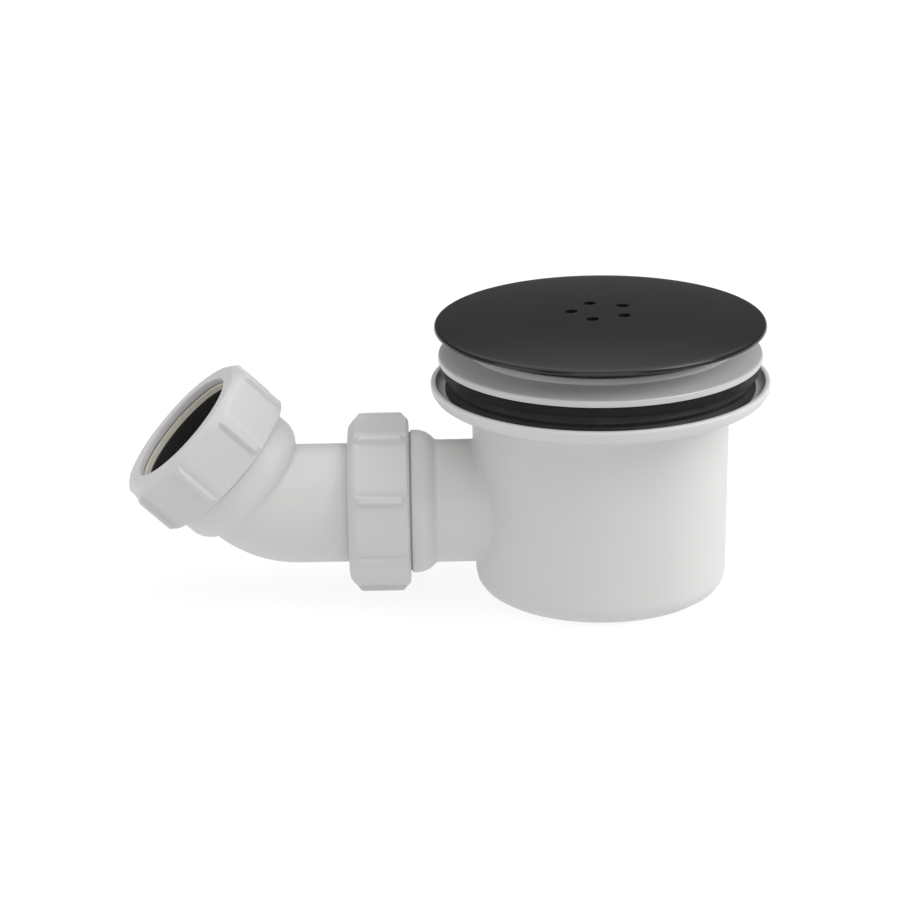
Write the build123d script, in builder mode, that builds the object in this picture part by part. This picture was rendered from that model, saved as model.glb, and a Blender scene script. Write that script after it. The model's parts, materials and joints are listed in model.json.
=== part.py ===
from build123d import *
import os
from math import cos, radians, sin, sqrt, tan

os.makedirs("parts", exist_ok=True)

# Shower trap for a 90 mm tray hole, in millimetres. The origin is the centre of the body's flat base,
# +Z is up and the outlet leaves along -X.

# Trap body: a drafted cup with a wide rim
body_d = 88.2
body_draft = 0.8
body_wall = 2.4
floor_thickness = 2.6
bottom_round = 7.0
inner_round = 5.0
rim_z = 69.3
rim_width = 13.9
rim_plate = 2.1
rim_lip_width = 1.9
rim_lip_height = 3.4
rim_round = 0.7
rim_under_round = 4.5
recess_round = 2.6
thread_zone = 14.0

# Pipe size that both compression joints are made for, and the neck on the body
pipe_d = 41.0
pipe_wall = 2.3
neck_wall = 3.0
neck_length = 12.1
neck_fillet = 1.2
outlet_rise = 10.2

# Compression joint: threaded socket, tapered ring, slip washer and nut
socket_clearance = 0.3
socket_depth = 18.0
socket_wall = 3.0
collar_step = 0.85
collar_length = 9.1
collar_ramp = 4.0
collar_sink = 0.7
collar_round = 8.0
collar_blend = 1.5
thread_length = 15.0
thread_depth = 0.9
thread_clearance = 0.2
seat_flare = 2.2
seat_depth = 7.5
ring_gap = 0.25
ring_reach = 5.0
ring_proud = 1.6
washer_thickness = 2.1
washer_clearance = 0.4
washer_play = 0.15
nut_length = 21.0
nut_end_wall = 2.7
nut_wall = 3.1
nut_corner = 1.0
nut_rib_height = 2.8
nut_rib_width = 3.0
nut_rib_count = 8
nut_hole_clearance = 0.8
nut_end_cone = 4.8
nut_end_cone_length = 4.0
nut_open_cone = 3.2
nut_open_cone_length = 2.6
nut_edge_round = 0.8
swivel_nut_angle = 20.5
outlet_nut_angle = -4.0

# Bend: a straight leg, a tight turn and an arm that carries the outlet socket
bend_angle = 45.0
bend_turn = 5.5
bend_radius = 23.0
leg_visible = 17.2
arm_straight = 11.5
arm_collar_length = 13.5
leg_end_gap = 0.6

# Clamping stack on the rim
gasket_height = 7.45
gasket_gap = 3.1
gasket_foot = 1.4
gasket_groove = 1.5
seal_bore_gap = 2.0
flange_washer_thickness = 3.4
flange_washer_inset = 0.6

# Clamping flange
flange_width = 13.8
flange_lip = 2.15
flange_lip_round = 0.7
flange_rise = 3.9
flange_core_wall = 2.0
flange_foot = 4.0
crest_width = 1.6
throat_flare = 5.8
throat_depth = 5.2
spigot_clearance = 0.3
spigot_wall = 2.2
spigot_length = 22.0
ledge_drop = 6.0
ledge_width = 2.6
ledge_thickness = 3.0

# Dip tube, its seal and the cup
dip_clearance = 0.3
dip_d = 45.0
dip_wall = 1.8
dip_collar = 4.0
dip_funnel = 9.0
dip_gap = 6.4
seal_section = 2.2
waterway = 8.7
cup_wall = 1.8
cup_draft = 0.6
cup_floor = 2.0
cup_lift = 2.0
overflow_gap = 13.2
foot_ring_width = 2.0
foot_ring_height = 1.5
foot_clearance = 0.3

# Cover
cover_overhang = 1.3
cover_gap = 9.0
cover_edge = 1.8
cover_edge_round = 1.4
cover_rise = 3.7
cover_wall = 1.9
cover_hole_d = 4.4
cover_hole_count = 5
cover_hole_ring = 9.8
leg_count = 3
leg_width = 9.0
leg_thickness = 2.4
leg_clearance = 0.3

# Radii and levels that follow from the sizes above
pipe_r = pipe_d / 2
bore_r = pipe_r - pipe_wall
neck_r = bore_r + neck_wall
socket_r = pipe_r + socket_clearance
thread_root_r = socket_r + socket_wall
collar_r = thread_root_r + collar_step
nut_bore_r = thread_root_r + thread_depth + thread_clearance
nut_flat_r = nut_bore_r + nut_wall
nut_rib_r = nut_flat_r + nut_rib_height
washer_top = ring_proud + washer_thickness
nut_shoulder = washer_top + washer_play
nut_end = nut_shoulder + nut_end_wall

body_r = body_d / 2
base_r = body_r - rim_z * tan(radians(body_draft))
body_bore_r = body_r - body_wall
rim_r = body_r + rim_width
rim_plate_z = rim_z + rim_plate
rim_top = rim_plate_z + rim_lip_height
rim_lip_r = rim_r - rim_lip_width

outlet_z = neck_r + outlet_rise
collar_x = body_r + neck_length
mouth_x = collar_x + collar_length + thread_length
turn_run = bend_radius * tan(radians(bend_angle / 2))
corner_x = mouth_x + nut_end + leg_visible + turn_run
arm_length = turn_run + arm_straight + thread_length
corner = Vector(-corner_x, 0, outlet_z)
turn_side = Vector(0, cos(radians(bend_turn)), sin(radians(bend_turn)))
turn_up = Vector(0, -sin(radians(bend_turn)), cos(radians(bend_turn)))
outlet_dir = turn_up * sin(radians(bend_angle)) + Vector(-cos(radians(bend_angle)), 0, 0)

spigot_r = body_bore_r - spigot_clearance
throat_r = spigot_r - spigot_wall
washer_z = rim_plate_z + gasket_height
flange_z = washer_z + flange_washer_thickness
lip_top = flange_z + flange_lip
crest_z = lip_top + flange_rise
flange_r = spigot_r + flange_width
ledge_z = flange_z - ledge_drop
ledge_r = throat_r - ledge_width
dip_collar_top = ledge_z + dip_collar

cup_r = base_r - body_wall - waterway
cup_rim = ledge_z - overflow_gap
cup_floor_top = floor_thickness + cup_lift + cup_floor
cup_base_r = cup_r - cup_rim * tan(radians(cup_draft))
dip_r = dip_d / 2
dip_bottom = cup_floor_top + dip_gap

cover_r = flange_r + cover_overhang
cover_z = lip_top + cover_gap
cover_edge_top = cover_z + cover_edge
dome_r = (cover_r**2 + cover_rise**2) / (2 * cover_rise)

# Each joint plane lies on a socket's mouth, with z pointing out of it
swivel_plane = Plane((-mouth_x, 0, outlet_z), x_dir=(0, 1, 0), z_dir=(-1, 0, 0))
outlet_plane = Plane(corner + outlet_dir * arm_length, x_dir=turn_side, z_dir=outlet_dir)


def turned(outline, plane=Plane.XY, mode=Mode.ADD):
    """Turn a closed outline of (radius, height, corner round) about the plane's z axis."""
    section = Plane(plane.origin, x_dir=plane.x_dir, z_dir=-plane.y_dir)
    with BuildSketch(section) as profile:
        with BuildLine():
            points = [(radius, height) for radius, height, _ in outline]
            FilletPolyline(*points, radius=[corner_round for *_, corner_round in outline], close=True)
        make_face()
    revolve(profile.sketch, axis=Axis(plane.origin, plane.z_dir), mode=mode)


def ring_outline(inner, outer, bottom, top):
    """Square-cornered ring section."""
    return [(inner, bottom, 0), (outer, bottom, 0), (outer, top, 0), (inner, top, 0)]


def socket_outside(plane, length, tube_r):
    """Rounded collar and the threaded mouth of a compression socket, still solid."""
    collar_end = -thread_length - length
    turned(
        [
            (0, collar_end, 0),
            (tube_r - collar_sink, collar_end, 0),
            (collar_r, collar_end + collar_ramp, collar_round),
            (collar_r, -thread_length, 0),
            (thread_root_r, -thread_length, 0),
            (thread_root_r, 0, 0),
            (0, 0, 0),
        ],
        plane,
    )


def collar_crease(edges, plane, length):
    """Edges where a socket's collar grows out of its tube."""
    collar_end = -thread_length - length
    return edges.filter_by(
        lambda edge: collar_end < plane.to_local_coords(edge.center()).Z < collar_end + collar_ramp / 2
    )


def socket_inside(plane):
    """Bore for the pipe, with the tapered seat at its mouth."""
    turned(
        [
            (0, -socket_depth, 0),
            (socket_r, -socket_depth, 0),
            (socket_r, -seat_depth, 0),
            (socket_r + seat_flare, 0, 0),
            (0, 0, 0),
        ],
        plane,
        Mode.SUBTRACT,
    )


def compression_ring(plane):
    """Tapered rubber ring, lying in the socket's seat and standing proud of its mouth."""
    mouth_r = socket_r + seat_flare - ring_gap
    tip_r = mouth_r - ring_reach * seat_flare / seat_depth
    with BuildPart() as ring:
        turned(
            [
                (socket_r, -ring_reach, 0),
                (tip_r, -ring_reach, 0),
                (mouth_r, 0, 0),
                (mouth_r, ring_proud, 0),
                (socket_r, ring_proud, 0),
            ],
            plane,
        )
    return ring


def slip_washer(plane):
    """Flat slip washer between the rubber ring and the nut's shoulder."""
    with BuildPart() as washer:
        turned(ring_outline(socket_r, nut_bore_r - washer_clearance, ring_proud, washer_top), plane)
    return washer


def compression_nut(plane, rib_angle):
    """Eight-sided nut with a rib on each corner and a coned end that stops the washer."""
    open_end = nut_end - nut_length
    with BuildPart() as nut:
        with BuildSketch(plane.offset(open_end)) as outside:
            RegularPolygon(nut_flat_r, nut_rib_count, major_radius=False, rotation=rib_angle)
            Circle(nut_flat_r + nut_corner, mode=Mode.INTERSECT)
            with PolarLocations(nut_rib_r / 2, nut_rib_count, start_angle=rib_angle):
                Rectangle(nut_rib_r, nut_rib_width)
        extrude(outside.sketch, nut_length)
        turned(
            [
                (0, open_end, 0),
                (nut_rib_r - nut_open_cone, open_end, 0),
                (nut_rib_r, open_end + nut_open_cone_length, 0),
                (nut_rib_r, nut_end - nut_end_cone_length, 0),
                (nut_rib_r - nut_end_cone, nut_end, nut_edge_round),
                (0, nut_end, 0),
            ],
            plane,
            Mode.INTERSECT,
        )
        turned(
            [
                (0, open_end, 0),
                (nut_bore_r, open_end, 0),
                (nut_bore_r, nut_shoulder, 0),
                (pipe_r + nut_hole_clearance, nut_shoulder, 0),
                (pipe_r + nut_hole_clearance, nut_end, 0),
                (0, nut_end, 0),
            ],
            plane,
            Mode.SUBTRACT,
        )
    return nut


def cup_outside(mode=Mode.ADD):
    """Outside of the cup below its rim, still solid."""
    turned(
        [(0, 0, 0), (base_r, 0, bottom_round), (body_r, rim_z, 0), (0, rim_z, 0)],
        mode=mode,
    )


def dome_height(radius):
    """Height of the cover's top surface at a radius."""
    return cover_edge_top + cover_rise - dome_r + sqrt(dome_r**2 - radius**2)


# Trap body: drafted cup with the outlet hole low in its side and a ring that centres the inner cup
outlet_section = Plane((0, 0, outlet_z), x_dir=(0, 1, 0), z_dir=(-1, 0, 0))
cup_wall_r = base_r - body_wall
thread_start = rim_plate_z - thread_zone
foot_ring_r = cup_base_r - cup_wall - foot_clearance
with BuildPart() as trap_body:
    cup_outside()
    turned(
        [
            (0, floor_thickness, 0),
            (cup_wall_r, floor_thickness, inner_round),
            (body_bore_r, thread_start, 0),
            (body_bore_r, rim_z, 0),
            (0, rim_z, 0),
        ],
        mode=Mode.SUBTRACT,
    )
    with BuildSketch(outlet_section):
        Circle(bore_r)
    extrude(amount=mouth_x, mode=Mode.SUBTRACT)
    turned(
        ring_outline(
            foot_ring_r - foot_ring_width,
            foot_ring_r,
            floor_thickness,
            floor_thickness + foot_ring_height,
        )
    )
trap_body.part.label = "trap_body"
export_step(trap_body.part, "parts/trap_body.step")

# Body rim: plate round the cup's mouth with an upstanding lip, of one moulding with the cup
with BuildPart() as body_rim:
    turned(
        [
            (body_bore_r, rim_z, 0),
            (rim_r, rim_z, rim_under_round),
            (rim_r, rim_top, rim_round),
            (rim_lip_r, rim_top, 0),
            (rim_lip_r, rim_plate_z, recess_round),
            (body_bore_r, rim_plate_z, 0),
        ]
    )
body_rim.part.label = "body_rim"
export_step(body_rim.part, "parts/body_rim.step")

# Body outlet: neck and threaded socket grown out of the body's side, of one moulding with it
with BuildPart() as body_outlet:
    cup_outside()
    with BuildSketch(outlet_section):
        Circle(neck_r)
    extrude(amount=collar_x + collar_ramp)
    fillet(body_outlet.edges(Select.LAST).sort_by(Axis.X)[-1], neck_fillet)
    socket_outside(swivel_plane, collar_length, neck_r)
    fillet(collar_crease(body_outlet.edges(), swivel_plane, collar_length), collar_blend)
    with BuildSketch(outlet_section):
        Circle(bore_r)
    extrude(amount=mouth_x, mode=Mode.SUBTRACT)
    socket_inside(swivel_plane)
    cup_outside(Mode.SUBTRACT)
body_outlet.part.label = "body_outlet"
export_step(body_outlet.part, "parts/body_outlet.step")

# Outlet bend: leg, turn and arm swept as one tube, with the second socket on its end
arm_end = corner + outlet_dir * (arm_length - socket_depth)
leg_start = Vector(-mouth_x + socket_depth - leg_end_gap, 0, outlet_z)
with BuildPart() as outlet_bend:
    with BuildLine() as bend_path:
        FilletPolyline(leg_start, corner, arm_end, radius=bend_radius)
    leg_plane = Plane(leg_start, x_dir=(0, 1, 0), z_dir=(-1, 0, 0))
    with BuildSketch(leg_plane):
        Circle(pipe_r)
    sweep()
    socket_outside(outlet_plane, arm_collar_length, pipe_r)
    fillet(collar_crease(outlet_bend.edges(), outlet_plane, arm_collar_length), collar_blend)
    with BuildSketch(leg_plane):
        Circle(bore_r)
    sweep(path=bend_path.line, mode=Mode.SUBTRACT)
    socket_inside(outlet_plane)
outlet_bend.part.label = "outlet_bend"
export_step(outlet_bend.part, "parts/outlet_bend.step")

# The two compression joints, the same pieces at each socket
for name, plane, rib_angle in (
    ("swivel", swivel_plane, swivel_nut_angle),
    ("outlet", outlet_plane, outlet_nut_angle),
):
    joint_pieces = {
        f"{name}_compression_ring": compression_ring(plane),
        f"{name}_slip_washer": slip_washer(plane),
        f"{name}_nut": compression_nut(plane, rib_angle),
    }
    for label, piece in joint_pieces.items():
        piece.part.label = label
        export_step(piece.part, f"parts/{label}.step")

# Tray gasket: two grooves round its side and a wider foot in the rim's recess
gasket_r = rim_lip_r - gasket_gap
gasket_waist_r = gasket_r - gasket_groove
gasket_bore_r = body_bore_r + seal_bore_gap
groove_height = (gasket_height - gasket_foot) / 2
with BuildPart() as tray_gasket:
    turned(
        [
            (gasket_bore_r, rim_plate_z, 0),
            (gasket_r, rim_plate_z, 0),
            (gasket_r, rim_plate_z + gasket_foot, 0),
            (gasket_waist_r, rim_plate_z + gasket_foot + groove_height / 2, 0),
            (gasket_r - gasket_groove / 2, rim_plate_z + gasket_foot + groove_height, 0),
            (gasket_waist_r, washer_z - groove_height / 2, 0),
            (gasket_r - gasket_groove / 2, washer_z, 0),
            (gasket_bore_r, washer_z, 0),
        ]
    )
tray_gasket.part.label = "tray_gasket"
export_step(tray_gasket.part, "parts/tray_gasket.step")

# Flange washer: thin flat ring between the gasket and the flange
with BuildPart() as flange_washer:
    turned(ring_outline(gasket_bore_r, flange_r - flange_washer_inset, washer_z, flange_z))
flange_washer.part.label = "flange_washer"
export_step(flange_washer.part, "parts/flange_washer.step")

# Clamping flange: lip, sloped top cored from below, throat, ledge for the dip tube, spigot
crest_in_r = throat_r + throat_flare
crest_out_r = crest_in_r + crest_width
core_in_r = spigot_r + flange_core_wall
spigot_end = flange_z - spigot_length
with BuildPart() as clamping_flange:
    turned(
        [
            (spigot_r, flange_z, 0),
            (core_in_r, flange_z, 0),
            (core_in_r, crest_z - flange_core_wall, 0),
            (crest_out_r, crest_z - flange_core_wall, 0),
            (flange_r - flange_foot, flange_z, 0),
            (flange_r, flange_z, flange_lip_round / 2),
            (flange_r, lip_top, flange_lip_round),
            (crest_out_r, crest_z, flange_lip_round),
            (crest_in_r, crest_z, flange_lip_round),
            (throat_r, crest_z - throat_depth, 0),
            (throat_r, ledge_z, 0),
            (ledge_r, ledge_z, 0),
            (ledge_r, ledge_z - ledge_thickness, 0),
            (throat_r, ledge_z - ledge_thickness, 0),
            (throat_r, spigot_end, 0),
            (spigot_r, spigot_end, 0),
        ]
    )
clamping_flange.part.label = "clamping_flange"
export_step(clamping_flange.part, "parts/clamping_flange.step")

# Dip tube: grooved collar on the flange's ledge, funnel and tube
dip_collar_r = throat_r - dip_clearance
dip_neck_r = ledge_r - dip_clearance
dip_bore_r = dip_r - dip_wall
seal_floor_r = dip_collar_r - seal_section
seal_bottom = ledge_z + (dip_collar - seal_section) / 2
seal_top = seal_bottom + seal_section
funnel_end = ledge_z - dip_funnel
with BuildPart() as dip_tube:
    turned(
        [
            (dip_bore_r, dip_bottom, 0),
            (dip_r, dip_bottom, 0),
            (dip_r, funnel_end, 0),
            (dip_neck_r, ledge_z, 0),
            (dip_collar_r, ledge_z, 0),
            (dip_collar_r, seal_bottom, 0),
            (seal_floor_r, seal_bottom, 0),
            (seal_floor_r, seal_top, 0),
            (dip_collar_r, seal_top, 0),
            (dip_collar_r, dip_collar_top, 0),
            (seal_floor_r - dip_wall, dip_collar_top, 0),
            (dip_bore_r, funnel_end + dip_wall, 0),
        ]
    )
dip_tube.part.label = "dip_tube"
export_step(dip_tube.part, "parts/dip_tube.step")

# Dip tube seal: rubber ring in the collar's groove
with BuildPart() as dip_tube_seal:
    turned(ring_outline(seal_floor_r, dip_collar_r + dip_clearance / 2, seal_bottom, seal_top))
dip_tube_seal.part.label = "dip_tube_seal"
export_step(dip_tube_seal.part, "parts/dip_tube_seal.step")

# Trap cup: drafted cup that stands on the body's floor, round the foot ring
cup_floor_z = floor_thickness + cup_lift
with BuildPart() as trap_cup:
    turned(
        [
            (0, cup_floor_z, 0),
            (cup_base_r - cup_wall, cup_floor_z, 0),
            (cup_base_r - cup_wall, floor_thickness, 0),
            (cup_base_r, floor_thickness, 0),
            (cup_r, cup_rim, 0),
            (cup_r - cup_wall, cup_rim, 0),
            (cup_base_r - cup_wall, cup_floor_top, 0),
            (0, cup_floor_top, 0),
        ]
    )
trap_cup.part.label = "trap_cup"
export_step(trap_cup.part, "parts/trap_cup.step")

# Cover: shallow dome with drain holes, standing by its legs on the dip tube's collar
crown_z = cover_edge_top + cover_rise
hollow_r = cover_r - cover_wall
leg_r = throat_r - leg_clearance
leg_top = dome_height(leg_r) - cover_wall / 2
with BuildPart() as cover:
    with BuildSketch(Plane.XZ) as shell:
        with BuildLine():
            dome = ThreePointArc(
                (0, crown_z), (cover_r / 2, dome_height(cover_r / 2)), (cover_r, cover_edge_top)
            )
            hollow = ThreePointArc(
                (0, crown_z - cover_wall),
                (hollow_r / 2, dome_height(hollow_r / 2) - cover_wall),
                (hollow_r, dome_height(hollow_r) - cover_wall),
            )
            Line(dome @ 0, hollow @ 0)
            Polyline(dome @ 1, (cover_r, cover_z), (hollow_r, cover_z), hollow @ 1)
        make_face()
        fillet(shell.vertices().group_by(Axis.X)[-1].sort_by(Axis.Y)[-1], cover_edge_round)
    revolve(axis=Axis.Z)
    with BuildSketch(Plane.XY.offset(dip_collar_top)):
        with PolarLocations(leg_r - leg_thickness / 2, leg_count, start_angle=90):
            Rectangle(leg_thickness, leg_width)
    extrude(amount=leg_top - dip_collar_top)
    with BuildSketch(Plane.XY.offset(cover_z)):
        with PolarLocations(cover_hole_ring, cover_hole_count, start_angle=180):
            Circle(cover_hole_d / 2)
    extrude(amount=crown_z - cover_z, mode=Mode.SUBTRACT)
cover.part.label = "cover"
export_step(cover.part, "parts/cover.step")
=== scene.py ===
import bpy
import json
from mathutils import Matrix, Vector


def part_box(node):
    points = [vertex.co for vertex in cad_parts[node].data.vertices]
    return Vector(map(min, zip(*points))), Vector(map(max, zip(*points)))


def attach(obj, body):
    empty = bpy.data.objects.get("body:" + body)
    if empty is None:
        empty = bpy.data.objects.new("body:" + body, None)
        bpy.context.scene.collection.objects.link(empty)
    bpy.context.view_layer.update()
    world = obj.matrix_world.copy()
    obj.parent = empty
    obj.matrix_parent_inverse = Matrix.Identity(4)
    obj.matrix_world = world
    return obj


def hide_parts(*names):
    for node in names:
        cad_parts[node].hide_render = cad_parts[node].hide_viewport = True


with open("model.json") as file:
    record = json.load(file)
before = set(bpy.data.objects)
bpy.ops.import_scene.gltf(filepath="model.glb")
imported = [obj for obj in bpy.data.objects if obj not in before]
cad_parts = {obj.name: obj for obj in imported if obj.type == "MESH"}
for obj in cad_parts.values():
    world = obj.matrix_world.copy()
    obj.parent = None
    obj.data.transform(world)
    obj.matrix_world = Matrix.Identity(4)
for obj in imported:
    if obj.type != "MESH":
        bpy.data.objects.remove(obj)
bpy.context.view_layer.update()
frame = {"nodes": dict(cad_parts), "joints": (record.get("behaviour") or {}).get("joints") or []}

import json
from itertools import pairwise
from math import atan2, cos, hypot, pi, radians, sin, sqrt, tan

import bmesh
import bpy
from mathutils import Matrix, Vector

bl_info = {
    "name": "Shower trap looks",
    "version": (1, 0, 0),
    "blender": (4, 5, 0),
    "location": "3D View > Sidebar > Shower trap",
    "description": "Models the shower trap's mouldings, rings, threads and cover on its packed frame",
    "category": "Add Mesh",
}

MM = 0.001
SAME_PLACE = 2e-6
FLAT_ANGLE = radians(0.2)
SHARP_ANGLE = radians(32)
SMOOTH_ANGLE = radians(38)
ROUND_SIDES = 192
JOINT_SIDES = 128
ROUND_STEPS = 4
MOULD_STEPS = 3
# Radius of the small cap that closes a turned piece on its axis
AXIS_CAP = 0.4 * MM


class TrapSizes(bpy.types.PropertyGroup):
    """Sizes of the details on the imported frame."""

    mould_round: bpy.props.FloatProperty(
        name="Moulded edge", description="Radius on the edges of the white mouldings",
        default=0.5 * MM, min=0.0, unit="LENGTH",
    )
    rubber_round: bpy.props.FloatProperty(
        name="Rubber edge", description="Radius on the edges of the rubber rings",
        default=0.5 * MM, min=0.0, unit="LENGTH",
    )
    plate_round: bpy.props.FloatProperty(
        name="Plated edge", description="Radius on the lip and the crest of the plated flange",
        default=0.75 * MM, min=0.0, unit="LENGTH",
    )
    hole_round: bpy.props.FloatProperty(
        name="Drain hole edge", description="Radius round the drain holes of the cover",
        default=0.4 * MM, min=0.0, unit="LENGTH",
    )
    thread_pitch: bpy.props.FloatProperty(
        name="Thread pitch", description="Distance from ridge to ridge on the threaded sockets",
        default=3.0 * MM, min=1 * MM, unit="LENGTH",
    )
    thread_ridge: bpy.props.FloatProperty(
        name="Thread ridge", description="Height of the rounded ridge on the threaded sockets",
        default=0.85 * MM, min=0.0, unit="LENGTH",
    )
    nut_flat: bpy.props.FloatProperty(
        name="Nut flat", description="Distance from a nut's middle to its flats",
        default=28.0 * MM, min=0.0, unit="LENGTH",
    )
    nut_corner: bpy.props.FloatProperty(
        name="Nut corner", description="Distance from a nut's middle to its rounded corners",
        default=29.0 * MM, min=0.0, unit="LENGTH",
    )
    nut_rib: bpy.props.FloatProperty(
        name="Nut rib", description="Distance from a nut's middle to the top of its ribs",
        default=30.8 * MM, min=0.0, unit="LENGTH",
    )
    swivel_turn: bpy.props.FloatProperty(
        name="Swivel nut turn", description="How far the ribs of the swivel nut are turned",
        default=radians(20.5), subtype="ANGLE",
    )
    outlet_turn: bpy.props.FloatProperty(
        name="Outlet nut turn", description="How far the ribs of the outlet nut are turned",
        default=radians(-4.0), subtype="ANGLE",
    )


class TrapColours(bpy.types.PropertyGroup):
    """Colours of the finishes."""

    white_plastic: bpy.props.FloatVectorProperty(
        name="White plastic", description="Colour of the moulded body and bend",
        default=(0.684, 0.680, 0.674), subtype="COLOR", min=0.0, max=1.0,
    )
    # The nuts' cooler tint is their own; their colour is also set a little darker than the white
    # plastic as painted shade, offsetting the stronger light that falls on them
    nut_plastic: bpy.props.FloatVectorProperty(
        name="Nut plastic", description="Colour of the two nuts, a cooler batch of the white plastic",
        default=(0.645, 0.633, 0.639), subtype="COLOR", min=0.0, max=1.0,
    )
    chrome_plate: bpy.props.FloatVectorProperty(
        name="Chrome plate", description="Colour of the plated clamping flange",
        default=(0.90, 0.90, 0.905), subtype="COLOR", min=0.0, max=1.0,
    )
    black_rubber: bpy.props.FloatVectorProperty(
        name="Black rubber", description="Colour of the washer under the flange and of the joint rings",
        default=(0.005, 0.005, 0.0053), subtype="COLOR", min=0.0, max=1.0,
    )
    # The gasket's colour is lighter than the black rubber as painted light, for the shade under the
    # washer and in the rim's recess
    gasket_rubber_painted_light: bpy.props.FloatVectorProperty(
        name="Gasket rubber", description="Colour of the tray gasket",
        default=(0.030, 0.030, 0.0307), subtype="COLOR", min=0.0, max=1.0,
    )
    black_cover: bpy.props.FloatVectorProperty(
        name="Black cover", description="Colour of the gloss cover",
        default=(0.017, 0.017, 0.0175), subtype="COLOR", min=0.0, max=1.0,
    )
    pale_plastic: bpy.props.FloatVectorProperty(
        name="Pale plastic", description="Colour of the slip washers",
        default=(0.70, 0.67, 0.58), subtype="COLOR", min=0.0, max=1.0,
    )


class TrapStage(bpy.types.PropertyGroup):
    """Floor, even light and camera."""

    floor_size: bpy.props.FloatProperty(
        name="Floor", description="Side of the square floor", default=9.0, unit="LENGTH",
    )
    floor_shade: bpy.props.FloatProperty(
        name="Floor shade", description="How much of the light the pale floor throws back",
        default=0.2, min=0.0, max=1.0, subtype="FACTOR",
    )
    floor_glow: bpy.props.FloatProperty(
        name="Floor glow", description="Light of the pale floor towards the camera", default=0.84,
    )
    floor_bounce: bpy.props.FloatProperty(
        name="Floor bounce", description="Light of the pale floor towards the part", default=0.66,
    )
    low_light: bpy.props.FloatProperty(
        name="Low light", description="Strength of the even light near the horizon", default=0.11,
    )
    high_light: bpy.props.FloatProperty(
        name="High light", description="Strength of the even light overhead", default=1.25,
    )
    lens: bpy.props.FloatProperty(
        name="Lens", description="Focal length in millimetres on a 36 mm sensor",
        default=128.955, unit="CAMERA",
    )
    camera_place: bpy.props.FloatVectorProperty(
        name="Camera place", description="Where the camera stands",
        default=(-0.05765, -1.047656, 0.413242), subtype="TRANSLATION", unit="LENGTH",
    )
    camera_turn: bpy.props.FloatVectorProperty(
        name="Camera turn", description="How the camera is turned",
        default=(radians(70.86478), radians(0.92772), radians(-0.6472)),
        subtype="EULER", unit="ROTATION",
    )


def deselect():
    """Leave edit mode and deselect every object."""
    if bpy.context.object and bpy.context.object.mode != "OBJECT":
        bpy.ops.object.mode_set(mode="OBJECT")
    bpy.ops.object.select_all(action="DESELECT")


def activate(piece):
    """Make a piece the only selected object."""
    deselect()
    piece.select_set(True)
    bpy.context.view_layer.objects.active = piece


def edit(piece):
    """Go into edit mode with all of a piece selected."""
    activate(piece)
    bpy.ops.object.mode_set(mode="EDIT")
    bpy.ops.mesh.select_mode(type="EDGE")
    bpy.ops.mesh.select_all(action="SELECT")


def apply_modifier(piece, kind, **values):
    """Add a modifier to the active piece, set its values and apply it."""
    bpy.ops.object.modifier_add(type=kind)
    modifier = piece.modifiers[-1]
    for name, value in values.items():
        setattr(modifier, name, value)
    bpy.ops.object.modifier_apply(modifier=modifier.name)


def select_edges(piece, wanted):
    """In edit mode, select the edges for which wanted says yes."""
    bpy.ops.mesh.select_mode(type="EDGE")
    bpy.ops.mesh.select_all(action="DESELECT")
    mesh = bmesh.from_edit_mesh(piece.data)
    for edge in mesh.edges:
        edge.select_set(bool(wanted(edge)))
    if not any(edge.select for edge in mesh.edges):
        raise RuntimeError(f"{piece.name} has none of the edges that this step needs")
    bmesh.update_edit_mesh(piece.data)


def on_ring(edge, radius, height):
    """Tell whether an edge lies on a ring round the z axis."""
    return all(
        abs(hypot(*point.co.xy) - radius) < SAME_PLACE and abs(point.co.z - height) < SAME_PLACE
        for point in edge.verts
    )


def turn_from_nearest(place, count, first=0.0):
    """Angle round the z axis from a place to the nearest of some evenly spaced spots."""
    pitch = 2 * pi / count
    return abs((atan2(place.y, place.x) - first + pitch / 2) % pitch - pitch / 2)


def middle(edge):
    """Place half-way along an edge."""
    return (edge.verts[0].co + edge.verts[1].co) / 2


def copy_round(count):
    """In edit mode, copy what is selected round the z axis, evenly spaced."""
    for _ in range(count - 1):
        bpy.ops.mesh.duplicate()
        bpy.ops.transform.rotate(value=2 * pi / count, orient_axis="Z", center_override=(0, 0, 0))


def first_ring(name, radius, height, sides):
    """Add the circle that a piece is drawn out from, and go into edit mode."""
    deselect()
    bpy.ops.mesh.primitive_circle_add(vertices=sides, radius=radius, location=(0, 0, height))
    piece = bpy.context.object
    piece.name = name
    bpy.ops.object.transform_apply(location=True, rotation=False, scale=False)
    bpy.ops.object.mode_set(mode="EDIT")
    bpy.ops.mesh.select_mode(type="EDGE")
    return piece


def draw_out(height, next_height):
    """Extrude the selected ring from one height to the next."""
    bpy.ops.mesh.extrude_edges_move(TRANSFORM_OT_translate={"value": (0, 0, next_height - height)})


def widen(growth, height):
    """Scale what is selected away from the z axis."""
    bpy.ops.transform.resize(value=(growth, growth, 1), center_override=(0, 0, height))


def bridge_ends():
    """Join the two open rings of a drawn-out piece."""
    bpy.ops.mesh.select_all(action="DESELECT")
    bpy.ops.mesh.select_mode(type="EDGE")
    bpy.ops.mesh.select_non_manifold(
        extend=False, use_wire=False, use_multi_face=False, use_non_contiguous=False, use_verts=False
    )
    bpy.ops.mesh.bridge_edge_loops()


def face_outwards():
    """Turn every face outwards and go back to object mode."""
    bpy.ops.mesh.select_all(action="SELECT")
    bpy.ops.mesh.normals_make_consistent(inside=False)
    bpy.ops.object.mode_set(mode="OBJECT")


def smooth(piece):
    """Shade a piece smooth, with flat faces kept flat beside their rounded edges."""
    activate(piece)
    bpy.ops.object.shade_smooth_by_angle(angle=SMOOTH_ANGLE)
    apply_modifier(piece, "WEIGHTED_NORMAL", keep_sharp=True)


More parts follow.
